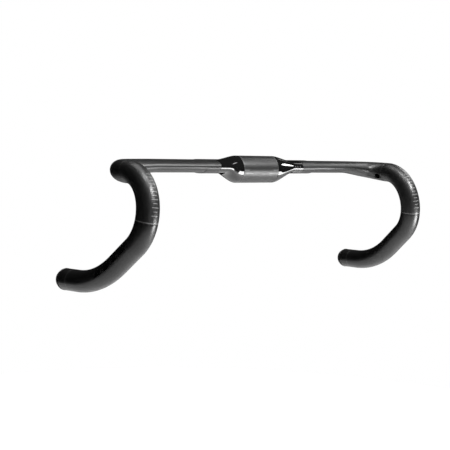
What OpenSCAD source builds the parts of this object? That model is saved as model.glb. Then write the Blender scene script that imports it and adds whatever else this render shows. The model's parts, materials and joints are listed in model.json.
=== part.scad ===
// Carbon drop handlebar with aero tops, cable ports and expanding end plugs.
// Millimetres. X runs along the stem clamp, -Y is the riding direction, +Z is up.
// The origin is the middle of the stem clamp, on its axis. Left is the rider's left, at +X.

/* [Stem clamp] */
// Diameter that the stem clamps
clamp_d = 31.8; // [31.6:0.1:32.0]
// Width of the gritty band between the stem's faceplate and its body
band_w = 52; // [46:1:52]
// Thickness of the gritty coat on the clamp
band_t = 0.4; // [0.3:0.1:0.6]
// Distance from the middle to where the clamp bulge has run out
bulge_end = 50; // [46:1:60]

/* [Tops] */
// Front-to-back depth of the flattened tops
tops_depth = 39; // [34:1:40]
// Thickness of the tops outboard of the tape step
tops_thick = 14.6; // [13:0.2:17]
// How much thicker the tops are inboard of the tape step
tape_step = 1.4; // [0.6:0.2:2.0]
// Distance from the middle to the tape step
tape_step_x = 80; // [70:1:110]
// Set-back of the tops' section behind the clamp axis
tops_back = 0; // [0:0.5:6]
// Height of the tops' section above the clamp axis
tops_rise = 3.5; // [0:0.5:5]

/* [Corners] */
// Distance from the middle to where each corner starts
corner_x = 171; // [160:0.5:190]
// Place of the round tube, ahead of the clamp axis
corner_ahead = 11.5; // [6:0.5:12]
// Height of the round tube's axis
corner_z = -1; // [-3:0.5:1]
// Bend radius of the corner
corner_r = 21; // [20:0.5:26]
// Inward turn of the lever mount beyond straight ahead, in degrees
toe = 5; // [0:0.5:8]

/* [Drops] */
// Outside diameter of the round tube, which is the lever clamp size
tube_d = 23.8; // [23.6:0.1:24.0]
// Bore of the round tube
bore_d = 19.2; // [18.6:0.1:19.4]
// Outward lean of each drop, in degrees
flare = 5.5; // [0:0.5:12]
// Straight between the corner and the hook
hood_straight = 2; // [1:0.5:4]
// Bend radius of the upper hook
hook_r = 38; // [35:0.5:45]
// Turn of the upper hook, in degrees
hook_turn = 44; // [40:1:50]
// Bend radius of the hook's belly
belly_r = 43; // [40:0.5:50]
// Turn of the belly, in degrees
belly_turn = 96; // [88:1:98]
// Straight between the belly and the tail bend
ramp = 33; // [25:1:40]
// Bend radius of the tail
tail_r = 114; // [80:1:120]
// Turn of the tail, in degrees
tail_turn = 36; // [35:1:41]
// Straight at the bar end, which holds the plug
tail_straight = 24; // [23:1:40]
// Turn of the belly that the lever grip coat covers, in degrees
grip_turn = 54; // [40:1:60]
// Thickness of the lever grip coat
grip_t = 0.3; // [0.2:0.1:0.4]

/* [Cable ports] */
// Radius of the cable hole in each grommet
port_r = 3.4; // [2.6:0.1:3.5]
// Wall of each grommet
grommet_t = 0.7; // [0.6:0.1:0.8]
// Place of the inlet along the corner, in degrees from the tops
inlet_turn = 62; // [56:1:68]
// Place of the inlet round the tube, in degrees below its front
inlet_drop = 31; // [24:1:36]
// Distance from the middle to each outlet under the tops
outlet_x = 56; // [54:1:66]

/* [End plugs] */
// Radius of the end cap's flange
cap_r = 12.1; // [11.6:0.1:12.3]
// Height of the domed cap beyond the bar end
cap_h = 12; // [9:0.5:12]
// Diameter of the expander screw
screw_d = 4; // [4:0.5:5]

/* [Hidden] */
$fn = 96;

clamp_r = clamp_d / 2;
tube_r = tube_d / 2;
bore_r = bore_d / 2;
grommet_r = port_r + grommet_t;
wall = tube_r - bore_r;          // laminate wall of the whole bar
clamp_extra = 0.7;               // extra wall under the stem clamp
glue = 0.05;                     // bond line under the coats and at the drops
lap_gap = 0.4;                   // bond line round each joint sleeve
fit_gap = 0.1;                   // running clearance of the plug in the bore
sides = 32;                      // facets round the tops
blend_start = corner_x - 31;     // where the flat tops start to turn round
turn_total = 90 + toe;
corner_len = corner_r * turn_total * PI / 180;
half_len = corner_x + corner_len;

// Tube runs as [straight length, bend radius, bend angle]; one of the two forms is zero.
grip_run = [[hood_straight, 0, 0], [0, hook_r, hook_turn], [0, belly_r, grip_turn]];
tail_run = [
    [0, belly_r, belly_turn - grip_turn], [ramp, 0, 0], [0, tail_r, tail_turn], [tail_straight, 0, 0]
];

// --- sections of the tops, swept along the centre line ---

function smooth(t) = let (c = max(0, min(1, t))) c * c * (3 - 2 * c);
function mix(a, b, t) = a + (b - a) * t;
function power(v, e) = sign(v) * pow(abs(v), e);
function bend_angle(s) = max(0, abs(s) - corner_x) / corner_r * 180 / PI;

// Centre of the round tube at distance s along the bar, which is negative on the right half
function path_point(s) = let (a = bend_angle(s)) [
    sign(s) * (min(abs(s), corner_x) + corner_r * sin(a)),
    -corner_ahead - corner_r * (1 - cos(a)),
    corner_z
];
// Level direction from the front of the section to its back
function path_back(s) = let (a = bend_angle(s)) [sign(s) * sin(a), cos(a), 0];

// Section at s: [half depth, half thickness, set-back, rise, superellipse power]
function section(s) = let (
    round_part = smooth((abs(s) - blend_start) / (half_len - blend_start)),
    bulge = 1 - smooth((abs(s) - band_w / 2 - 1) / (bulge_end - band_w / 2 - 1)),
    inboard = 1 - smooth((abs(s) - tape_step_x) / 2),
    under_band = abs(s) < band_w / 2 + 0.05 ? band_t + glue : 0,
    flat_part = [
        tops_depth / 2, (tops_thick + tape_step * inboard) / 2, tops_back + corner_ahead,
        tops_rise - corner_z - tape_step * inboard * 0.2, 2.25
    ],
    tube_part = [tube_r, tube_r, 0, 0, 2],
    clamp_part = [clamp_r - under_band, clamp_r - under_band, corner_ahead, -corner_z, 2]
) mix(mix(flat_part, tube_part, round_part), clamp_part, bulge);

function wall_at(s) = wall + clamp_extra * (1 - smooth((abs(s) - band_w / 2) / 20));

// Point on the section at s and angle t round it, cut back by inset
function skin(s, t, inset = 0) = let (q = section(s), back = path_back(s)) path_point(s)
    + back * (q[2] + (q[0] - inset) * power(cos(t), 2 / q[4]))
    + [0, 0, q[3] + (q[1] - inset) * power(sin(t), 2 / q[4])];

// Outward direction of the skin at s and t
function skin_out(s, t) = let (
    along = skin(s + 0.01, t) - skin(s - 0.01, t),
    round_it = skin(s, t + 0.01) - skin(s, t - 0.01),
    n = cross(round_it, along)
) n / norm(n);

half_stations = [
    9, 18, band_w / 2, band_w / 2 + 0.1,
    for (x = [29:3:bulge_end + 2]) x, 65,
    tape_step_x, tape_step_x + 1, tape_step_x + 2, 110,
    for (x = [blend_start:8:corner_x - 1]) x,
    for (k = [0:12]) corner_x + (corner_len - glue) * k / 12
];
count = len(half_stations);
stations = [
    for (i = [1:count]) -half_stations[count - i],
    for (s = half_stations) s
];

// --- tube chain ---

hair = 0.01;      // gap between the pieces of a tube, bridged inside the wall
tie_half = 0.8;   // half length of the ring that bridges it

// A tube starts at the origin, heads for -Y and bends down towards -Z.
module tube_piece(p, outer, inner) {
    if (p[0] > 0)
        rotate([90, 0, 0]) difference() {
            cylinder(h = p[0] - hair, r = outer);
            translate([0, 0, -1]) cylinder(h = p[0] + 2, r = inner);
        }
    else
        translate([0, 0, -p[1]]) rotate([180, -90, 0])
            rotate_extrude(angle = p[2] - hair / p[1] * 180 / PI) translate([p[1], 0]) difference() {
                circle(outer);
                circle(inner);
            }
}

// Ring inside the wall that joins one piece of a tube to the next
module tie_ring(outer, inner) {
    rotate([90, 0, 0]) difference() {
        cylinder(h = 2 * tie_half, r = mix(inner, outer, 0.75), center = true);
        cylinder(h = 2 * tie_half + 1, r = mix(inner, outer, 0.25), center = true);
    }
}

// Carries its children to the far end of one piece of a run.
module past(p) {
    translate([0, -p[0] - p[1] * sin(p[2]), -p[1] * (1 - cos(p[2]))]) rotate([p[2], 0, 0]) children();
}

module run_tube(run, outer, inner, i = 0) {
    if (i < len(run)) {
        if (i > 0) tie_ring(outer, inner);
        tube_piece(run[i], outer, inner);
        past(run[i]) run_tube(run, outer, inner, i + 1);
    }
}

module past_run(run, i = 0) {
    if (i < len(run)) past(run[i]) past_run(run, i + 1) children();
    else children();
}

// Each side is drawn on the left and mirrored for the right.
module on_side(side) {
    if (side > 0) children();
    else mirror([1, 0, 0]) children();
}

module at_joint() {
    translate(path_point(half_len)) rotate([0, 0, -toe]) rotate([0, -flare, 0]) children();
}

// The bar end's face, with +Z out of the bar
module at_bar_end() {
    at_joint() past_run(grip_run) past_run(tail_run) rotate([90, 0, 0]) children();
}

// --- cable ports ---

module at_port(s, t) {
    n = skin_out(s, t);
    translate(skin(s, t)) rotate([0, acos(n[2]), atan2(n[1], n[0])]) children();
}
module at_inlet() {
    at_port(corner_x + corner_len * inlet_turn / turn_total, 180 + inlet_drop) children();
}
module at_outlet() {
    at_port(outlet_x, 270) children();
}

port_depth = 3.6;      // how far each grommet reaches in
port_recess = 0.5;     // how far its mouth sits below the skin
rim_bevel = 1.2;       // width of the bevel round the mouth

module port_cut(clear = 0) {
    translate([0, 0, -5]) cylinder(h = 10, r = grommet_r + clear);
    translate([0, 0, -port_recess]) cylinder(h = 3, r1 = grommet_r, r2 = grommet_r + 3 * rim_bevel / 1.3);
}

module grommet() {
    translate([0, 0, -port_depth]) difference() {
        cylinder(h = port_depth - port_recess, r = grommet_r - glue);
        translate([0, 0, -1]) cylinder(h = port_depth + 2, r = port_r);
    }
}

// --- sub-parts ---

module centre_section() {
    rings = [
        for (inner = [0, 1]) for (s = stations) for (j = [0:sides - 1])
            skin(s, j * 360 / sides, inner * wall_at(s))
    ];
    last = len(stations) - 1;
    inside = len(stations) * sides;
    function at(i, j) = i * sides + j % sides;
    faces = [
        for (i = [0:last - 1]) for (j = [0:sides - 1])
            [at(i, j), at(i + 1, j), at(i + 1, j + 1), at(i, j + 1)],
        for (i = [0:last - 1]) for (j = [0:sides - 1])
            [for (k = [at(i, j + 1), at(i + 1, j + 1), at(i + 1, j), at(i, j)]) inside + k],
        for (j = [0:sides - 1])
            [at(0, j), at(0, j + 1), inside + at(0, j + 1), inside + at(0, j)],
        for (j = [0:sides - 1])
            [at(last, j + 1), at(last, j), inside + at(last, j), inside + at(last, j + 1)]
    ];
    color("#26272a") difference() {
        polyhedron(rings, faces);
        for (side = [1, -1]) on_side(side) {
            at_inlet() port_cut();
            at_outlet() port_cut();
        }
    }
}

module clamp_grip_band() {
    color("#3a3b3e") rotate([0, 90, 0]) difference() {
        cylinder(h = band_w, r = clamp_r, center = true);
        cylinder(h = band_w + 2, r = clamp_r - band_t, center = true);
    }
}

module drop(side) {
    color("#1d1e20") on_side(side) at_joint() {
        run_tube(grip_run, tube_r - grip_t - glue, bore_r);
        past_run(grip_run) {
            tie_ring(tube_r, bore_r);
            run_tube(tail_run, tube_r, bore_r);
        }
    }
}

module lever_grip_band(side) {
    color("#2e2f32") on_side(side) at_joint() run_tube(grip_run, tube_r, tube_r - grip_t);
}

lap_turn = 14;     // how far the sleeve reaches round the corner, in degrees
lap_hook = 12;     // how far it reaches into the hook, in degrees
sleeve_t = 1.6;    // wall of the sleeve

module joint_sleeve(side) {
    outer = bore_r - lap_gap;
    lap_run = [[hood_straight, 0, 0], [0, hook_r, lap_hook]];
    color("#4a4c50") on_side(side) difference() {
        union() {
            translate([corner_x, -corner_ahead - corner_r, corner_z]) rotate([0, 0, hair * 180 / PI / corner_r - toe])
                rotate_extrude(angle = lap_turn) translate([corner_r, 0]) difference() {
                    circle(outer);
                    circle(outer - sleeve_t);
                }
            at_joint() {
                tie_ring(outer, outer - sleeve_t);
                run_tube(lap_run, outer, outer - sleeve_t);
            }
        }
        at_inlet() translate([0, 0, -8]) cylinder(h = 12, r = grommet_r + 0.5);
    }
}

module inlet_grommet(side) {
    color("#0e0e0f") on_side(side) at_inlet() grommet();
}

module outlet_grommet(side) {
    color("#0e0e0f") on_side(side) at_outlet() grommet();
}

flange_t = 1.2;          // thickness of the cap's flange
gasket_t = 0.8;          // thickness of the gasket
seat_z = gasket_t + 0.1; // underside of the flange
spigot_h = 4;            // how far the cap reaches into the bore
sleeve_end = -14;        // inner end of the expander sleeve
mouth_h = 4;             // depth of its conical mouth
mouth_r = 8.2;           // radius of the mouth
hub_r = 4.6;             // radius at the bottom of the mouth
wedge_gap = 0.3;         // clearance between the wedge and the mouth
nut_end = -19;           // inner end of the wedge nut
head_r = 3.5;            // radius of the screw head
head_h = 2.8;            // height of the screw head
head_z = 5.8;            // underside of the screw head

module end_cap(side) {
    screw_r = screw_d / 2;
    dome_r = 11.6;
    dome_h = cap_h - seat_z - flange_t;
    ball_r = (dome_r * dome_r + dome_h * dome_h) / (2 * dome_h);
    color("#161617") on_side(side) at_bar_end() difference() {
        union() {
            translate([0, 0, seat_z]) cylinder(h = flange_t, r = cap_r);
            translate([0, 0, -spigot_h]) cylinder(h = spigot_h + seat_z + 0.5, r = bore_r - fit_gap);
            intersection() {
                translate([0, 0, cap_h - ball_r]) sphere(ball_r);
                translate([0, 0, seat_z + flange_t / 2]) cylinder(h = cap_h, r = dome_r);
            }
        }
        translate([0, 0, -spigot_h - 1]) cylinder(h = 20, r = screw_r + 0.05);
        translate([0, 0, head_z]) cylinder(h = 20, r = head_r + 0.1);
    }
}

module cap_gasket(side) {
    color("#070707") on_side(side) at_bar_end() translate([0, 0, 0.05]) difference() {
        cylinder(h = gasket_t, r = tube_r - 0.5);
        translate([0, 0, -1]) cylinder(h = gasket_t + 2, r = bore_r);
    }
}

module expander_sleeve(side) {
    length = -spigot_h - sleeve_end - 0.1;
    color("#39393c") on_side(side) at_bar_end() translate([0, 0, sleeve_end]) difference() {
        cylinder(h = length, r = bore_r - 2 * fit_gap);
        translate([0, 0, -1]) cylinder(h = length + 2, r = hub_r - 0.5);
        cylinder(h = mouth_h, r1 = mouth_r, r2 = hub_r);
        for (a = [0:45:135]) rotate([0, 0, a]) translate([-bore_r, -0.6, -1]) cube([bore_d, 1.2, mouth_h + 4]);
    }
}

module wedge_nut(side) {
    cone_h = mouth_h - 0.6;
    slope = (mouth_r - hub_r) / mouth_h;
    base_r = mouth_r - wedge_gap;
    color("#9a9ca0") on_side(side) at_bar_end() difference() {
        union() {
            translate([0, 0, sleeve_end]) cylinder(h = cone_h, r1 = base_r, r2 = base_r - slope * cone_h);
            translate([0, 0, nut_end]) cylinder(h = sleeve_end - nut_end, r = base_r);
        }
        translate([0, 0, nut_end - 1]) cylinder(h = 20, r = screw_d / 2 + 0.05);
    }
}

module expander_screw(side) {
    color("#b4b6ba") on_side(side) at_bar_end() difference() {
        union() {
            translate([0, 0, head_z + 0.05]) cylinder(h = head_h, r = head_r);
            translate([0, 0, nut_end - 1.5]) cylinder(h = head_z - nut_end + 2, r = screw_d / 2);
        }
        translate([0, 0, head_z + 1.0]) cylinder(h = head_h, r = 1.75, $fn = 6);
    }
}

centre_section();
clamp_grip_band();
drop(1);  // left_drop
drop(-1);  // right_drop
joint_sleeve(1);  // left_joint_sleeve
joint_sleeve(-1);  // right_joint_sleeve
lever_grip_band(1);  // left_lever_grip_band
lever_grip_band(-1);  // right_lever_grip_band
inlet_grommet(1);  // left_inlet_grommet
inlet_grommet(-1);  // right_inlet_grommet
outlet_grommet(1);  // left_outlet_grommet
outlet_grommet(-1);  // right_outlet_grommet
end_cap(1);  // left_end_cap
end_cap(-1);  // right_end_cap
cap_gasket(1);  // left_cap_gasket
cap_gasket(-1);  // right_cap_gasket
expander_sleeve(1);  // left_expander_sleeve
expander_sleeve(-1);  // right_expander_sleeve
wedge_nut(1);  // left_wedge_nut
wedge_nut(-1);  // right_wedge_nut
expander_screw(1);  // left_expander_screw
expander_screw(-1);  // right_expander_screw
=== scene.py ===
import json
import math

import bmesh
import bpy
import numpy as np
from mathutils import Matrix, Vector


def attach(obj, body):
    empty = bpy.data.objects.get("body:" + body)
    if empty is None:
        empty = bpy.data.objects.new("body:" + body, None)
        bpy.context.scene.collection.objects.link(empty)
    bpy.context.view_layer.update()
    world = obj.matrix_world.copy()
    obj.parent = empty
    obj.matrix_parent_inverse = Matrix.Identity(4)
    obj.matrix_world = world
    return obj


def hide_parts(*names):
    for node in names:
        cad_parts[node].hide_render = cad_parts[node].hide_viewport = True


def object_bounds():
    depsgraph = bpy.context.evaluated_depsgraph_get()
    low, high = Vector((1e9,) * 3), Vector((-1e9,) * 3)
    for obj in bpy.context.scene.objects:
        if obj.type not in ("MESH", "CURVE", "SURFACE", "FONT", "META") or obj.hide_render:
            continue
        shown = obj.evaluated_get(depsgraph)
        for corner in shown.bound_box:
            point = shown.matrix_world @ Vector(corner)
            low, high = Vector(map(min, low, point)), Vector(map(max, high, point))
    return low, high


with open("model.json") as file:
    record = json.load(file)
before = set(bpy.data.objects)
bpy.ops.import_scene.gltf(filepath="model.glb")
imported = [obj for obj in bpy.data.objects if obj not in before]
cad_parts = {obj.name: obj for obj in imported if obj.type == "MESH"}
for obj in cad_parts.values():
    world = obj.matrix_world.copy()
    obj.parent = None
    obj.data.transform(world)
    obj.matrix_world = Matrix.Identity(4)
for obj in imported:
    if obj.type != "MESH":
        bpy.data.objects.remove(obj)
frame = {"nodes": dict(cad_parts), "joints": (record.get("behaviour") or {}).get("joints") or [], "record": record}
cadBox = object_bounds()
scene = bpy.context.scene
mounts = {mount["name"]: mount for mount in frame["record"]["mounts"]}
joints = {joint["name"]: joint for joint in frame["joints"]}
sides = {"left": 1, "right": -1}  # left is the rider's left, at +X
mm = 0.001
print("frame loaded")


# the camera and the studio

camera = {
    "turn": -38.55,  # degrees round the bar, 0 looks along +Y
    "rise": 2.73,  # degrees above the level
    "roll": 2.43,
    "distance": 1.09887,  # metres from the clamp's middle
    "lens": 74.41,
    "shiftX": -0.0632,
    "shiftY": -0.1239,
}


def compass(turn, rise):
    # the direction from the bar towards a place round it
    a = math.radians(turn)
    e = math.radians(rise)
    return Vector((math.sin(a) * math.cos(e), -math.cos(a) * math.cos(e), math.sin(e)))


def makeCamera():
    back = compass(camera["turn"], camera["rise"])
    right = Vector((math.cos(math.radians(camera["turn"])), math.sin(math.radians(camera["turn"])), 0))
    up = back.cross(right)
    c = math.cos(math.radians(camera["roll"]))
    s = math.sin(math.radians(camera["roll"]))
    turned = Matrix((right * c + up * s, up * c - right * s, back)).transposed().to_4x4()
    data = bpy.data.cameras.new("camera")
    data.lens = camera["lens"]
    data.shift_x = camera["shiftX"]
    data.shift_y = camera["shiftY"]
    made = bpy.data.objects.new("camera", data)
    made.matrix_world = Matrix.Translation(back * camera["distance"]) @ turned
    scene.collection.objects.link(made)
    scene.camera = made


studio = {
    "look": "Standard",
    "floorDrop": 0.45,  # metres from the bar's lowest point to the floor
    "floorRadius": 1.3,
    "floorGlow": 0.9,
    "floorShine": 0.3,  # share of the glow that reaches the bar
    "skyTop": 0.02,
    "skyLevel": 0.01,
}

# softboxes: degrees round the bar and above the level, distance, width and height in metres, watts
softboxes = {
    "overhead": (0, 78, 1.4, 0.6, 0.45, 14.0),
    "highRight": (28, 46, 1.4, 0.35, 0.35, 27.0),
    "right": (100, 34, 1.4, 0.5, 0.6, 5.0),
    "behind": (180, 70, 1.4, 0.75, 0.55, 4.5),
    "lowRight": (44, -20, 0.9, 0.35, 0.35, 9.0),
    "front": (-10, 4, 1.5, 0.2, 0.8, 1.2),
}


def makeSoftbox(name, turn, rise, distance, width, height, watts):
    data = bpy.data.lights.new(name, "AREA")
    data.shape = "RECTANGLE"
    data.size = width
    data.size_y = height
    data.energy = watts
    made = bpy.data.objects.new(name, data)
    middle = (cadBox[0] + cadBox[1]) / 2
    made.location = middle + compass(turn, rise) * distance
    made.rotation_mode = "QUATERNION"
    made.rotation_quaternion = compass(turn, rise).to_track_quat("Z", "Y")
    made.visible_camera = False
    scene.collection.objects.link(made)


# shader nodes: a wire takes part in sums, and a finish makes the nodes of one material


class Wire:
    def __init__(self, finish, socket):
        self.finish = finish
        self.socket = socket

    def math(self, operation, *values):
        return self.finish.node("Math", {"operation": operation}, dict(enumerate(values)))

    def __add__(self, other):
        return self.math("ADD", self, other)

    def __radd__(self, other):
        return self.math("ADD", other, self)

    def __sub__(self, other):
        return self.math("SUBTRACT", self, other)

    def __rsub__(self, other):
        return self.math("SUBTRACT", other, self)

    def __mul__(self, other):
        return self.math("MULTIPLY", self, other)

    def __rmul__(self, other):
        return self.math("MULTIPLY", other, self)

    def __truediv__(self, other):
        return self.math("DIVIDE", self, other)

    def __abs__(self):
        return self.math("ABSOLUTE", self)


class Finish:
    def __init__(self, tree):
        self.tree = tree
        self.tree.nodes.clear()

    def node(self, kind, settings=None, inputs=None, output=0):
        made = self.tree.nodes.new("ShaderNode" + kind)
        for key, value in (settings or {}).items():
            if key == "stops":
                self.setStops(made.color_ramp, value)
            else:
                setattr(made, key, value)
        for key, value in (inputs or {}).items():
            if isinstance(value, Wire):
                self.tree.links.new(value.socket, made.inputs[key])
            else:
                made.inputs[key].default_value = value
        return Wire(self, made.outputs[output]) if len(made.outputs) else None

    def setStops(self, ramp, stops):
        while len(ramp.elements) < len(stops):
            ramp.elements.new(0.5)
        for element, (place, shade) in zip(ramp.elements, stops):
            element.position = place
            element.color = (shade, shade, shade, 1)

    def place(self):
        # the point on the object in metres, as a vector and as its three parts
        point = self.node("TexCoord", output=3)
        return point, *self.parts(point)

    def parts(self, vector):
        split = self.node("SeparateXYZ", None, {0: vector})
        outputs = split.socket.node.outputs
        return [Wire(self, outputs[i]) for i in range(3)]

    def alongAround(self):
        # distance along the tube in metres, and share of the turn round it
        return self.parts(self.node("UVMap", {"uv_map": "alongAround"}))[:2]

    def rising(self, value, low, high):
        settings = {"interpolation_type": "SMOOTHSTEP"}
        return self.node("MapRange", settings, {"Value": value, "From Min": low, "From Max": high})

    def stripe(self, value, centre, half, soft):
        return 1 - self.rising(abs(value - centre), half - soft, half + soft)

    def noise(self, point, scale, detail=2.0, rough=0.5):
        return self.node("TexNoise", None, {
            "Vector": point, "Scale": scale, "Detail": detail, "Roughness": rough})

    def stretched(self, point, scales):
        return self.node("VectorMath", {"operation": "MULTIPLY"}, {0: point, 1: scales})

    def blend(self, factor, low, high):
        # greys are given as numbers, colours as tuples or wires
        def asColour(shade):
            return shade if isinstance(shade, (Wire, tuple)) else (shade, shade, shade, 1)
        settings = {"data_type": "RGBA"}
        return self.node("Mix", settings, {0: factor, 6: asColour(low), 7: asColour(high)}, 2)

    def bump(self, height, distance, strength=1.0, under=None):
        inputs = {"Height": height, "Distance": distance, "Strength": strength}
        if under is not None:
            inputs["Normal"] = under
        return self.node("Bump", None, inputs)

    def surface(self, **inputs):
        named = {key.replace("_", " "): value for key, value in inputs.items()}
        shader = self.node("BsdfPrincipled", None, named)
        self.node("OutputMaterial", None, {0: shader})


def newFinish(name):
    material = bpy.data.materials.new(name)
    material.use_nodes = True
    return material, Finish(material.node_tree)


# finishes

carbonLook = {
    "shade": 0.004,
    "satin": 0.33,
    "gloss": 0.05,
    "topsMatter": 0.08,  # how much rougher the tops are than the drops
    "glossHalf": 61.5 * mm,  # the glossy zone's half width beside the clamp
    "fibreStretch": (30, 700, 700),
}

strokes = {
    "places": (49.7 * mm, 53.2 * mm, 57.3 * mm),
    "middleZ": 1.0 * mm,
    "halfHeight": 4.2 * mm,
    "halfWidth": 0.3 * mm,
    "bow": -45.0,  # sideways bend per metre of height squared
    "shade": 0.16,
}


def makeTopsFinish():
    material, finish = newFinish("satinCarbonTops")
    point, x, y, z = finish.place()
    fibre = finish.noise(finish.stretched(point, carbonLook["fibreStretch"]), 1.0, 3.0)
    peel = finish.noise(point, 260.0, 1.0)
    glossEdge = carbonLook["glossHalf"]
    glossy = 1 - finish.rising(abs(x), glossEdge - 0.2 * mm, glossEdge + 0.2 * mm)
    height = z - strokes["middleZ"]
    bent = x - height * height * strokes["bow"]
    stroke = 0
    for place in strokes["places"]:
        stroke = finish.stripe(bent, place, strokes["halfWidth"], 0.15 * mm) + stroke
    inFront = 1 - finish.rising(y, -6 * mm, -5 * mm)
    stroke = stroke * finish.stripe(height, 0, strokes["halfHeight"], 0.4 * mm) * inFront
    black = finish.blend(fibre, carbonLook["shade"] * 0.7, carbonLook["shade"] * 1.5)
    satin = carbonLook["satin"] + carbonLook["topsMatter"] + 0.06 * (fibre - 0.5) + 0.05 * (peel - 0.5)
    roughness = satin + glossy * (carbonLook["gloss"] - satin)
    finish.surface(
        Base_Color=finish.blend(stroke, black, strokes["shade"]),
        Roughness=roughness,
        Normal=finish.bump(fibre * (1 - glossy) + peel * 0.3, 0.012 * mm, 0.25),
    )
    return material


dropMarks = {
    "ringBack": 14.5 * mm,  # from the bar end to the light ring painted round the tube
    "ringHalf": 0.3 * mm,
    "ringShade": 0.10,
    "barsStart": 98 * mm,
    "barsEnd": 163 * mm,
    "barPitch": 16 * mm,
    "barShare": 0.30,  # half of a bar's width as a share of the pitch
    "barSlant": 0.035,  # metres along the tube per turn round it
    "barMiddle": -26 / 360,  # share of the turn, from the outer side
    "barHalf": 38 / 360,
}


def makeDropFinish(tubeLength):
    material, finish = newFinish("satinCarbonDrop")
    point, x, y, z = finish.place()
    along, around = finish.alongAround()
    fibre = finish.noise(point, 480.0, 3.0)
    peel = finish.noise(point, 260.0, 1.0)
    turned = around - dropMarks["barMiddle"]
    turned = turned.math("WRAP", turned, 0.5, -0.5)
    slanted = along - turned * dropMarks["barSlant"]
    phase = (slanted - dropMarks["barsStart"]) / dropMarks["barPitch"]
    offset = phase.math("FRACT", phase) - 0.5
    bars = finish.stripe(offset, 0, dropMarks["barShare"], 0.015)
    middle = (dropMarks["barsStart"] + dropMarks["barsEnd"]) / 2
    half = (dropMarks["barsEnd"] - dropMarks["barsStart"]) / 2
    bars = bars * finish.stripe(slanted, middle, half, 0.1 * mm)
    bars = bars * finish.stripe(turned, 0, dropMarks["barHalf"], 0.002)
    # a light ring painted round the tube near the bar end
    ring = finish.stripe(along, tubeLength - dropMarks["ringBack"], dropMarks["ringHalf"], 0.15 * mm)
    black = finish.blend(fibre, carbonLook["shade"] * 0.7, carbonLook["shade"] * 1.5)
    black = finish.blend(bars, black, carbonLook["shade"] * 0.5)
    satin = carbonLook["satin"] + 0.06 * (fibre - 0.5) + 0.05 * (peel - 0.5)
    finish.surface(
        Base_Color=finish.blend(ring, black, dropMarks["ringShade"]),
        Roughness=satin + bars * (carbonLook["gloss"] * 2 - satin),
        Normal=finish.bump(fibre * (1 - bars) + peel * 0.3, 0.012 * mm, 0.25),
    )
    return material


gritLook = {"dark": 0.0015, "light": 0.03, "grain": 850.0, "rough": 0.43}


def gritShade(finish, point):
    grain = finish.node("TexVoronoi", None, {"Vector": point, "Scale": gritLook["grain"]})
    fine = finish.noise(point, gritLook["grain"] * 1.7, 2.0)
    sparkle = finish.rising(fine, 0.52, 0.66)
    height = (1 - grain) * 0.6 + fine * 0.4
    return finish.blend(sparkle, gritLook["dark"], gritLook["light"]), height, sparkle


clampMarks = {
    "edge": 25 * mm,  # from the middle to the dotted ring near each edge
    "lines": ((0.0, 7 * mm), (-4.2 * mm, 13 * mm)),  # height on the front, and length
    "lineHalf": 0.32 * mm,
    "shade": 0.14,
    "dots": 60.0,
}


def makeClampFinish():
    material, finish = newFinish("clampGrit")
    point, x, y, z = finish.place()
    shade, height, sparkle = gritShade(finish, point)
    wide = abs(x)
    inFront = 1 - finish.rising(y, -8 * mm, -7 * mm)
    marks = 0
    for level, length in clampMarks["lines"]:
        reach = finish.stripe(wide, clampMarks["edge"] - length / 2, length / 2, 0.1 * mm)
        marks = finish.stripe(z, level, clampMarks["lineHalf"], 0.12 * mm) * reach * inFront + marks
    angle = z.math("ARCTAN2", z, y)
    dotted = angle.math("SINE", angle * clampMarks["dots"])
    ring = finish.stripe(wide, clampMarks["edge"], 0.3 * mm, 0.12 * mm) * finish.rising(dotted, -0.2, 0.2)
    marks = marks.math("MINIMUM", marks + ring * 0.5, 1.0)
    finish.surface(
        Base_Color=finish.blend(marks * 0.85, shade, clampMarks["shade"]),
        Roughness=gritLook["rough"] - sparkle * 0.22,
        Normal=finish.bump(height, 0.12 * mm, 0.8),
    )
    return material


leverMarks = {
    "last": 65 * mm,  # the last index tick, along the drop
    "first": 26 * mm,
    "pitch": 3.3 * mm,
    "half": 0.28 * mm,
    "middle": 92 / 360,  # share of the turn, on the outside of the hook
    "long": 20 / 360,
    "short": 12 / 360,
    "ringBack": 0.8 * mm,
    "shade": 0.34,
}


def makeLeverFinish(gripLength):
    material, finish = newFinish("leverGrit")
    point, x, y, z = finish.place()
    along, around = finish.alongAround()
    shade, height, sparkle = gritShade(finish, point)
    phase = (leverMarks["last"] - along) / leverMarks["pitch"]
    nearest = phase.math("ROUND", phase)
    miss = abs(phase - nearest) * leverMarks["pitch"]
    odd = nearest.math("FLOORED_MODULO", nearest, 2.0)
    reach = leverMarks["long"] - odd * (leverMarks["long"] - leverMarks["short"])
    off = abs(around - leverMarks["middle"])
    ticks = (1 - finish.rising(miss, leverMarks["half"] * 0.7, leverMarks["half"] * 1.3))
    ticks = ticks * (1 - finish.rising(off - reach, -0.001, 0.001))
    ticks = ticks * finish.rising(along, leverMarks["first"], leverMarks["first"] + 0.2 * mm)
    ticks = ticks * (1 - finish.rising(along, leverMarks["last"] + 1 * mm, leverMarks["last"] + 1.2 * mm))
    ring = finish.stripe(along, gripLength - leverMarks["ringBack"], 0.4 * mm, 0.12 * mm)
    seam = finish.stripe(along, 0, 0.35 * mm, 0.12 * mm) * 0.35
    marks = ticks.math("MINIMUM", ticks * 0.45 + ring * 0.3 + seam, 1.0)
    finish.surface(
        Base_Color=finish.blend(marks, shade, leverMarks["shade"]),
        Roughness=gritLook["rough"] - sparkle * 0.22,
        Normal=finish.bump(height, 0.12 * mm, 0.8),
    )
    return material


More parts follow.
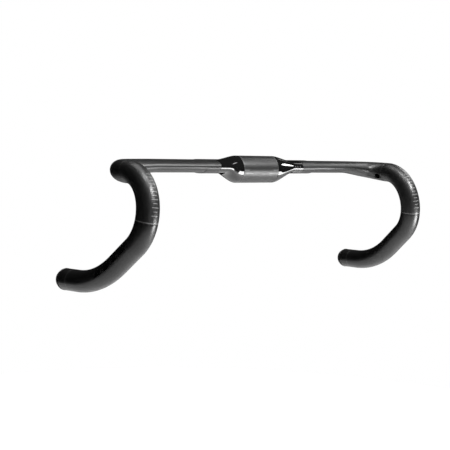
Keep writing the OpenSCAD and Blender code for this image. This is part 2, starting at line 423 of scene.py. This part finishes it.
def makeSoftFinish(name, shade, roughness, grain):
    # rubber and moulded plastic: fine grain in tone, gloss and relief
    material, finish = newFinish(name)
    point = finish.place()[0]
    mottle = finish.noise(point, grain, 3.0)
    broad = finish.noise(point, grain / 9, 2.0)
    finish.surface(
        Base_Color=finish.blend(broad, shade * 0.7, shade * 1.4),
        Roughness=roughness + 0.1 * (mottle - 0.5) + 0.1 * (broad - 0.5),
        Normal=finish.bump(mottle, 0.02 * mm, 0.4),
    )
    return material


def makeMetalFinish(name, shade, roughness, stretch):
    # turned or drawn metal: fine streaks across the axis
    material, finish = newFinish(name)
    point = finish.place()[0]
    streak = finish.noise(finish.stretched(point, stretch), 1.0, 3.0)
    stain = finish.noise(point, 160.0, 2.0)
    finish.surface(
        Base_Color=finish.blend(streak * 0.6 + stain * 0.4, shade * 0.75, shade * 1.1),
        Roughness=roughness + 0.15 * (streak - 0.5) + 0.08 * (stain - 0.5),
        Metallic=1.0,
        Normal=finish.bump(streak, 0.015 * mm, 0.35),
    )
    return material


def makeLaminateFinish():
    # bare woven laminate: two crossing sets of strands
    material, finish = newFinish("rawLaminate")
    point, x, y, z = finish.place()
    strand = 1.6 * mm
    first = x.math("SINE", (x + y) / strand * math.pi)
    second = x.math("SINE", (z - x) / strand * math.pi)
    weave = finish.rising(first * second, -0.25, 0.25)
    hairs = finish.noise(finish.stretched(point, (1800, 1800, 300)), 1.0, 2.0)
    finish.surface(
        Base_Color=finish.blend(weave * 0.7 + hairs * 0.3, 0.012, 0.05),
        Roughness=0.42 + 0.2 * (weave - 0.5),
        Normal=finish.bump(weave * 0.7 + hairs * 0.3, 0.05 * mm, 0.5),
    )
    return material


# meshes: rings of points, joined one to the next


def buildPiece(name, rings, alongs, closed, material, crease=32):
    count = len(rings)
    around = len(rings[0])
    rows = count if closed else count - 1
    faces = []
    uvs = []
    for i in range(rows):
        k = (i + 1) % count
        for j in range(around):
            n = (j + 1) % around
            faces.append((i * around + j, i * around + n, k * around + n, k * around + j))
            low = j / around
            high = (j + 1) / around
            uvs += [(alongs[i], low), (alongs[i], high), (alongs[k], high), (alongs[k], low)]
    mesh = bpy.data.meshes.new(name)
    mesh.from_pydata(np.concatenate(rings).tolist(), [], faces)
    layer = mesh.uv_layers.new(name="alongAround")
    layer.data.foreach_set("uv", np.array(uvs, np.float32).ravel())
    work = bmesh.new()
    work.from_mesh(mesh)
    bmesh.ops.remove_doubles(work, verts=work.verts, dist=1e-7)
    bmesh.ops.recalc_face_normals(work, faces=work.faces)
    work.to_mesh(mesh)
    work.free()
    mesh.shade_smooth()
    mesh.set_sharp_from_angle(angle=math.radians(crease))
    mesh.materials.append(material)
    piece = bpy.data.objects.new(name, mesh)
    scene.collection.objects.link(piece)
    return piece


def settle(piece, body, slot, *nodes):
    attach(piece, body)
    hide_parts(*nodes)


def rounded(points, radius, closed, steps=4):
    # a profile with each corner rounded, where its neighbours leave room
    made = []
    count = len(points)
    for i, corner in enumerate(points):
        corner = np.array(corner, float)
        if not closed and i in (0, count - 1):
            made.append(corner)
            continue
        before = np.array(points[i - 1], float) - corner
        after = np.array(points[(i + 1) % count], float) - corner
        reach = min(radius, np.linalg.norm(before) / 2.1, np.linalg.norm(after) / 2.1)
        start = before / np.linalg.norm(before) * reach
        end = after / np.linalg.norm(after) * reach
        for k in range(steps + 1):
            t = k / steps
            made.append(corner + start * (1 - t) ** 2 + end * t ** 2)
    return made


def turnedPiece(name, origin, axis, profile, closed, material, around=96, crease=32):
    # a lathe: the profile is pairs of height along the axis and radius
    axis = Vector(axis).normalized()
    across = axis.orthogonal().normalized()
    over = axis.cross(across)
    angles = np.linspace(0, 2 * math.pi, around, endpoint=False)
    spokes = np.outer(np.cos(angles), across) + np.outer(np.sin(angles), over)
    rings = [np.array(origin) + np.array(axis) * height + spokes * radius for height, radius in profile]
    alongs = [height for height, radius in profile]
    return buildPiece(name, rings, alongs, closed, material, crease)


def mirrored(vector, side):
    return Vector((vector[0] * side, vector[1], vector[2]))


# the bar's shape, as the CAD part has it

clampRadius = mounts["stem_clamp"]["dims"]["r_mm"] * mm
bandHalf = mounts["stem_clamp"]["dims"]["length_mm"] / 2 * mm
tubeRadius = mounts["left_lever_clamp"]["dims"]["r_mm"] * mm
portRadius = mounts["left_cable_inlet"]["dims"]["r_mm"] * mm

tops = {
    "halfDepth": 19.5 * mm,
    "halfThick": 7.3 * mm,
    "tapeStep": 1.4 * mm,
    "tapeStepX": 80 * mm,
    "bulgeEnd": 50 * mm,
    "back": 0 * mm,
    "rise": 3.5 * mm,
    "power": 2.25,
    "cornerX": 171 * mm,
    "cornerAhead": 11.5 * mm,
    "cornerZ": -1 * mm,
    "cornerR": 21 * mm,
    "cornerTurn": 95,
    "blendRun": 31 * mm,
    "underBand": 0.45 * mm,
    "wall": 2.3 * mm,
    "clampWall": 0.7 * mm,
    "around": 160,
}
halfLength = tops["cornerX"] + tops["cornerR"] * math.radians(tops["cornerTurn"])


def smooth(t):
    t = min(max(t, 0), 1)
    return t * t * (3 - 2 * t)


def bendAngle(s):
    return max(0, (abs(s) - tops["cornerX"]) / tops["cornerR"])


def pathPoint(s):
    a = bendAngle(s)
    x = min(abs(s), tops["cornerX"]) + tops["cornerR"] * math.sin(a)
    y = -tops["cornerAhead"] - tops["cornerR"] * (1 - math.cos(a))
    return np.array([math.copysign(x, s), y, tops["cornerZ"]])


def sectionAt(s):
    # half depth, half thickness, set-back, rise and superellipse power
    wide = abs(s)
    start = tops["cornerX"] - tops["blendRun"]
    roundPart = smooth((wide - start) / (halfLength - start))
    bulge = 1 - smooth((wide - bandHalf - mm) / (tops["bulgeEnd"] - bandHalf - mm))
    inboard = 1 - smooth((wide - tops["tapeStepX"]) / (2 * mm))
    step = tops["tapeStep"] * inboard
    rise = tops["rise"] - tops["cornerZ"] - step * 0.2
    flat = np.array([
        tops["halfDepth"], tops["halfThick"] + step / 2,
        tops["back"] + tops["cornerAhead"], rise, tops["power"]])
    tube = np.array([tubeRadius, tubeRadius, 0, 0, 2])
    under = clampRadius - (tops["underBand"] if wide < bandHalf + 0.05 * mm else 0)
    clamp = np.array([under, under, tops["cornerAhead"], -tops["cornerZ"], 2])
    body = flat + (tube - flat) * roundPart
    return body + (clamp - body) * bulge


def wallAt(s):
    return tops["wall"] + tops["clampWall"] * (1 - smooth((abs(s) - bandHalf) / (20 * mm)))


def skinRing(s, inset):
    angles = np.linspace(0, 2 * math.pi, tops["around"], endpoint=False)
    depth, thick, back, rise, power = sectionAt(s)
    c = np.cos(angles)
    q = np.sin(angles)
    out = back + (depth - inset) * np.sign(c) * np.abs(c) ** (2 / power)
    up = rise + (thick - inset) * np.sign(q) * np.abs(q) ** (2 / power)
    a = bendAngle(s)
    level = np.array([math.copysign(math.sin(a), s), math.cos(a), 0])
    return pathPoint(s) + np.outer(out, level) + np.outer(up, (0, 0, 1))


port = {
    "recess": 0.5 * mm,  # the grommet's mouth below the skin
    "wall": 0.7 * mm,
    "bevel": 1.2 * mm,
}


def cutPort(shell, mount, side):
    # a rounded funnel and a straight hole, through the near wall only
    grommetRadius = portRadius + port["wall"]
    axis = mirrored(mount["axis"], side)
    skin = mirrored(mount["pos_m"], side) + axis * (port["recess"] + mount["dims"]["length_mm"] * mm / 2)
    funnel = [(-5 * mm, 0), (-5 * mm, grommetRadius), (-port["recess"] - 0.3 * mm, grommetRadius)]
    for k in range(1, 9):
        t = k / 8
        height = -port["recess"] - 0.3 * mm + t * (port["recess"] + 0.9 * mm)
        funnel.append((height, grommetRadius + port["bevel"] * 1.6 * t ** 1.7))
    funnel += [(3 * mm, grommetRadius + port["bevel"] * 3), (3 * mm, 0)]
    cutter = turnedPiece("cutter", skin, axis, funnel, False, shell.data.materials[0], 64)
    cut = shell.modifiers.new("cut", "BOOLEAN")
    cut.object = cutter
    cut.solver = "EXACT"
    bpy.context.view_layer.update()
    with bpy.context.temp_override(object=shell, active_object=shell, selected_objects=[shell]):
        bpy.ops.object.modifier_apply(modifier="cut")
    bpy.data.objects.remove(cutter)


def makeCentreSection(material):
    # stations close together where the skin changes fast
    edges = [bandHalf - 0.05 * mm, bandHalf + 0.06 * mm, bandHalf + 0.3 * mm]
    half = sorted(
        [k * 1.5 * mm for k in range(1, int(halfLength / (1.5 * mm)) + 1)]
        + edges
        + [tops["tapeStepX"] + k * 0.25 * mm for k in range(9)]
        + [halfLength - 0.25 * mm, halfLength - 0.08 * mm, halfLength]
    )
    half = [s for i, s in enumerate(half) if i == 0 or s - half[i - 1] > 0.04 * mm]
    stations = [-s for s in reversed(half)] + half

    def lip(s):
        # the moulding's end edges are eased, so the joint shows as a fine groove
        left = halfLength - abs(s)
        return max(0, 0.2 * mm - left) * 0.9

    rings = [skinRing(s, lip(s)) for s in stations]
    inner = stations[::-4] + [stations[0]]
    rings += [skinRing(s, wallAt(s)) for s in inner]
    shell = buildPiece("centreSectionShell", rings, stations + inner, True, material, 40)
    for side in sides.values():
        cutPort(shell, mounts["left_cable_inlet"], side)
        cutPort(shell, mounts["left_cable_outlet"], side)
    shell.data.set_sharp_from_angle(angle=math.radians(40))
    settle(shell, "bar", "satin_carbon", "centre_section")


gritRelief = {"spacing": 0.5 * mm, "height": 0.05 * mm}


def gritHeights(rows, columns, seed):
    # small bumps, evened out a little, that fade at both edges
    draw = np.random.default_rng(seed)
    heights = draw.normal(0, 1, (rows, columns))
    heights += np.roll(heights, 1, 1) * 0.5 + np.roll(heights, 1, 0) * 0.5
    fade = np.minimum(1, np.minimum(np.arange(rows), np.arange(rows)[::-1]) / 3)
    return np.clip(heights, -2, 1.2) / 2 * gritRelief["height"] * fade[:, None]


def makeClampBand(material):
    rows = int(2 * bandHalf / gritRelief["spacing"])
    columns = int(2 * math.pi * clampRadius / gritRelief["spacing"])
    heights = gritHeights(rows, columns, 3)
    places = np.linspace(-bandHalf, bandHalf, rows)
    angles = np.linspace(0, 2 * math.pi, columns, endpoint=False)
    rings = []
    alongs = []
    for i, x in enumerate(places):
        eased = max(0, 0.25 * mm - (bandHalf - abs(x))) * 0.8
        radius = clampRadius - eased - 0.02 * mm + heights[i]
        rings.append(np.stack([np.full(columns, x), np.cos(angles) * radius, np.sin(angles) * radius], 1))
        alongs.append(x)
    for x in (bandHalf, -bandHalf):
        radius = clampRadius - 0.4 * mm
        rings.append(np.stack([np.full(columns, x), np.cos(angles) * radius, np.sin(angles) * radius], 1))
        alongs.append(x)
    band = buildPiece("clampGripBand", rings, alongs, True, material, 60)
    settle(band, "bar", "clamp_grit", "clamp_grip_band")


# the drops: straights and bends as (length, radius, angle), one form or the other

drop = {
    "toe": 5,
    "flare": 5.5,
    "run": (
        (2 * mm, 0, 0), (0, 38 * mm, 44), (0, 43 * mm, 54), (0, 43 * mm, 42),
        (33 * mm, 0, 0), (0, 114 * mm, 36), (24 * mm, 0, 0)),
    "gripPieces": 3,
    "bore": 9.6 * mm,
    "coat": 0.3 * mm,
    "glue": 0.05 * mm,
    "around": 112,
    "step": 1.2 * mm,
}


def pieceLength(piece):
    return piece[0] + piece[1] * math.radians(piece[2])


gripLength = sum(pieceLength(piece) for piece in drop["run"][:drop["gripPieces"]])
tubeLength = sum(pieceLength(piece) for piece in drop["run"])


def dropPlane():
    toe = math.radians(drop["toe"])
    flare = math.radians(drop["flare"])
    ahead = np.array([-math.sin(toe), -math.cos(toe), 0])
    level = np.array([math.cos(toe), -math.sin(toe), 0])
    up = np.array([0, 0, 1.0])
    down = level * math.sin(flare) - up * math.cos(flare)
    outside = level * math.cos(flare) + up * math.sin(flare)
    return ahead, down, outside


def dropFrame(s):
    # centre of the left drop at s, with the directions to its outer side and to the outside of its bends
    ahead, down, outside = dropPlane()
    u = v = heading = 0
    left = s
    for length, radius, angle in drop["run"]:
        here = min(left, pieceLength((length, radius, angle)))
        if radius:
            turned = heading + here / radius
            u += radius * (math.sin(turned) - math.sin(heading))
            v += radius * (math.cos(heading) - math.cos(turned))
            heading = turned
        else:
            u += here * math.cos(heading)
            v += here * math.sin(heading)
        left -= here
        if left <= 1e-9:
            break
    centre = pathPoint(halfLength) + ahead * u + down * v
    return centre, outside, ahead * math.sin(heading) - down * math.cos(heading)


def dropRing(s, radii, around, side):
    centre, outside, over = dropFrame(s)
    angles = np.linspace(0, 2 * math.pi, around, endpoint=False)
    spokes = np.outer(np.cos(angles), outside) + np.outer(np.sin(angles), over)
    ring = centre + spokes * np.reshape(radii, (-1, 1))
    return ring * (side, 1, 1)


def makeDrop(name, side, material):
    inset = drop["coat"] + drop["glue"]
    steps = [k * drop["step"] for k in range(int(tubeLength / drop["step"]) + 1)]
    steps += [gripLength - 0.02 * mm, gripLength + 0.04 * mm, gripLength + 0.3 * mm]
    steps += [tubeLength - 0.5 * mm, tubeLength - 0.2 * mm, tubeLength]
    steps = sorted(steps)
    steps = [s for i, s in enumerate(steps) if i == 0 or s - steps[i - 1] > 0.015 * mm]

    def outer(s):
        eased = max(0, 0.4 * mm - (tubeLength - s)) * 0.6
        coatStep = max(0, 0.2 * mm - (s - gripLength)) * 0.5
        return tubeRadius - (inset if s < gripLength else eased + coatStep)

    rings = [dropRing(s, outer(s), drop["around"], side) for s in steps]
    inner = steps[::-3] + [steps[0]]
    rings += [dropRing(s, drop["bore"], drop["around"], side) for s in inner]
    tube = buildPiece(name + "DropTube", rings, steps + inner, True, material, 50)
    settle(tube, "bar", "satin_carbon", name + "_drop")


def makeLeverCoat(name, side, material):
    rows = int(gripLength / gritRelief["spacing"])
    columns = int(2 * math.pi * tubeRadius / gritRelief["spacing"])
    heights = gritHeights(rows, columns, 5 + side)
    places = np.linspace(0.05 * mm, gripLength - 0.01 * mm, rows)
    rings = []
    for i, s in enumerate(places):
        edge = min(s, gripLength - s)
        eased = max(0, 0.25 * mm - edge) * 0.8
        rings.append(dropRing(s, tubeRadius - eased - 0.02 * mm + heights[i], columns, side))
    inner = list(places[::-4]) + [places[0]]
    rings += [dropRing(s, tubeRadius - drop["coat"], columns, side) for s in inner]
    coat = buildPiece(name + "LeverCoat", rings, list(places) + inner, True, material, 60)
    settle(coat, "bar", "lever_grit", name + "_lever_grip_band")


# grommets and end plugs, turned on a lathe


def makeGrommet(name, mountName, side, material):
    mount = mounts["left_cable_" + mountName]
    axis = mirrored(mount["axis"], side)
    half = mount["dims"]["length_mm"] / 2 * mm
    outer = portRadius + port["wall"] - drop["glue"]
    corners = [(-half, outer), (half, outer), (half, portRadius), (-half, portRadius)]
    profile = rounded(corners, 0.3 * mm, True)
    ring = turnedPiece(
        name + mountName.capitalize() + "Grommet", mirrored(mount["pos_m"], side), axis,
        profile, True, material, 72)
    settle(ring, "bar", "port_rubber", name + "_" + mountName + "_grommet")


plug = {
    "capRadius": 12.1 * mm,
    "capHeight": 12 * mm,
    "seat": 0.9 * mm,
    "flange": 1.2 * mm,
    "domeFoot": 11.6 * mm,
    "spigot": 4 * mm,
    "spigotRadius": 9.5 * mm,
    "headHole": 3.6 * mm,
    "headFloor": 5.8 * mm,
    "screwHole": 2.05 * mm,
    "gasket": 0.8 * mm,
    "gasketRadius": 11.4 * mm,
}


def makeEndCap(name, side, material):
    end = joints["left_screw_turn"]["pos_m"]
    out = joints["left_plug_pull"]["axis"]
    domeTall = plug["capHeight"] - plug["seat"] - plug["flange"]
    ball = (plug["domeFoot"] ** 2 + domeTall ** 2) / (2 * domeTall)
    start = math.asin(min(1, plug["domeFoot"] / ball))
    stop = math.asin((plug["headHole"] + 0.35 * mm) / ball)
    seat = plug["seat"]
    rim = seat + plug["flange"]
    outline = [(-plug["spigot"], plug["screwHole"]), (-plug["spigot"], plug["spigotRadius"])]
    outline += [(seat, plug["spigotRadius"]), (seat, plug["capRadius"]), (rim, plug["capRadius"])]
    profile = rounded(outline + [(rim + 0.05 * mm, plug["domeFoot"])], 0.35 * mm, False)
    for k in range(15):
        a = start + (stop - start) * k / 14
        profile.append((plug["capHeight"] - ball + ball * math.cos(a), ball * math.sin(a)))
    top = profile[-1][0]
    mouth = [(top - 0.35 * mm, plug["headHole"]), (plug["headFloor"], plug["headHole"])]
    mouth += [(plug["headFloor"], plug["screwHole"])]
    profile += mouth
    cap = turnedPiece(
        name + "EndCap", mirrored(end, side), mirrored(out, side), profile, True, material, 128, 40)
    settle(cap, name + "_plug", "cap_plastic", name + "_end_cap")


def makeGasket(name, side, material):
    end = mirrored(joints["left_screw_turn"]["pos_m"], side)
    out = mirrored(joints["left_plug_pull"]["axis"], side)
    low = 0.05 * mm
    high = low + plug["gasket"]
    outer = plug["gasketRadius"]
    outline = [(low, drop["bore"]), (low, outer), (high, outer), (high, drop["bore"])]
    ring = turnedPiece(name + "CapGasket", end, out, rounded(outline, 0.25 * mm, True), True, material, 96)
    settle(ring, name + "_plug", "gasket_rubber", name + "_cap_gasket")


def dress(node, material):
    # a CAD piece keeps its shape and takes a finish
    shown = frame["nodes"][node]
    shown.data.materials.clear()
    shown.data.materials.append(material)


# the floor and the sky


def makeStage():
    low = min(cadBox[0].z, cadBox[1].z)
    mesh = bpy.data.meshes.new("floor")
    work = bmesh.new()
    bmesh.ops.create_circle(work, cap_ends=True, radius=studio["floorRadius"], segments=96)
    work.to_mesh(mesh)
    work.free()
    floor = bpy.data.objects.new("floor", mesh)
    floor.location = (0, 0, low - studio["floorDrop"])
    scene.collection.objects.link(floor)
    material, finish = newFinish("paleFloor")
    point = finish.place()[0]
    finish.surface(
        Base_Color=finish.blend(finish.noise(point, 3.0), 0.88, 0.92),
        Roughness=0.9,
        Emission_Color=finish.blend(finish.node("LightPath"), studio["floorShine"], 1.0),
        Emission_Strength=studio["floorGlow"],
    )
    mesh.materials.append(material)


def makeSky():
    world = bpy.data.worlds.new("studio")
    world.use_nodes = True
    scene.world = world
    sky = Finish(world.node_tree)
    direction = sky.node("TexCoord")
    level = sky.parts(direction)[2]
    shade = sky.blend(sky.rising(level, 0.0, 0.9), studio["skyLevel"], studio["skyTop"])
    seen = sky.node("LightPath")
    shown = sky.blend(seen, shade, 1.0)
    sky.node("OutputWorld", None, {0: sky.node("Background", None, {"Color": shown})})


scene.view_settings.view_transform = studio["look"]
makeCamera()
makeSky()
makeStage()
for name, values in softboxes.items():
    makeSoftbox(name, *values)
print("camera, floor and lights made")

topsFinish = makeTopsFinish()
dropFinish = makeDropFinish(tubeLength)
clampFinish = makeClampFinish()
leverFinish = makeLeverFinish(gripLength)
portRubber = makeSoftFinish("portRubber", 0.008, 0.65, 1500.0)
gasketRubber = makeSoftFinish("gasketRubber", 0.004, 0.75, 1500.0)
sleeveRubber = makeSoftFinish("sleeveRubber", 0.03, 0.7, 1200.0)
capPlastic = makeSoftFinish("capPlastic", 0.012, 0.36, 900.0)
wedgeMetal = makeMetalFinish("turnedAluminium", 0.6, 0.32, (300, 2500, 300))
screwMetal = makeMetalFinish("zincSteel", 0.52, 0.28, (900, 900, 900))
laminate = makeLaminateFinish()
print("finishes made")

makeCentreSection(topsFinish)
makeClampBand(clampFinish)
print("tops made")
for name, side in sides.items():
    makeDrop(name, side, dropFinish)
    makeLeverCoat(name, side, leverFinish)
    makeGrommet(name, "inlet", side, portRubber)
    makeGrommet(name, "outlet", side, portRubber)
    makeEndCap(name, side, capPlastic)
    makeGasket(name, side, gasketRubber)
    dress(name + "_joint_sleeve", laminate)
    dress(name + "_expander_sleeve", sleeveRubber)
    dress(name + "_wedge_nut", wedgeMetal)
    dress(name + "_expander_screw", screwMetal)
    print(name, "side made")
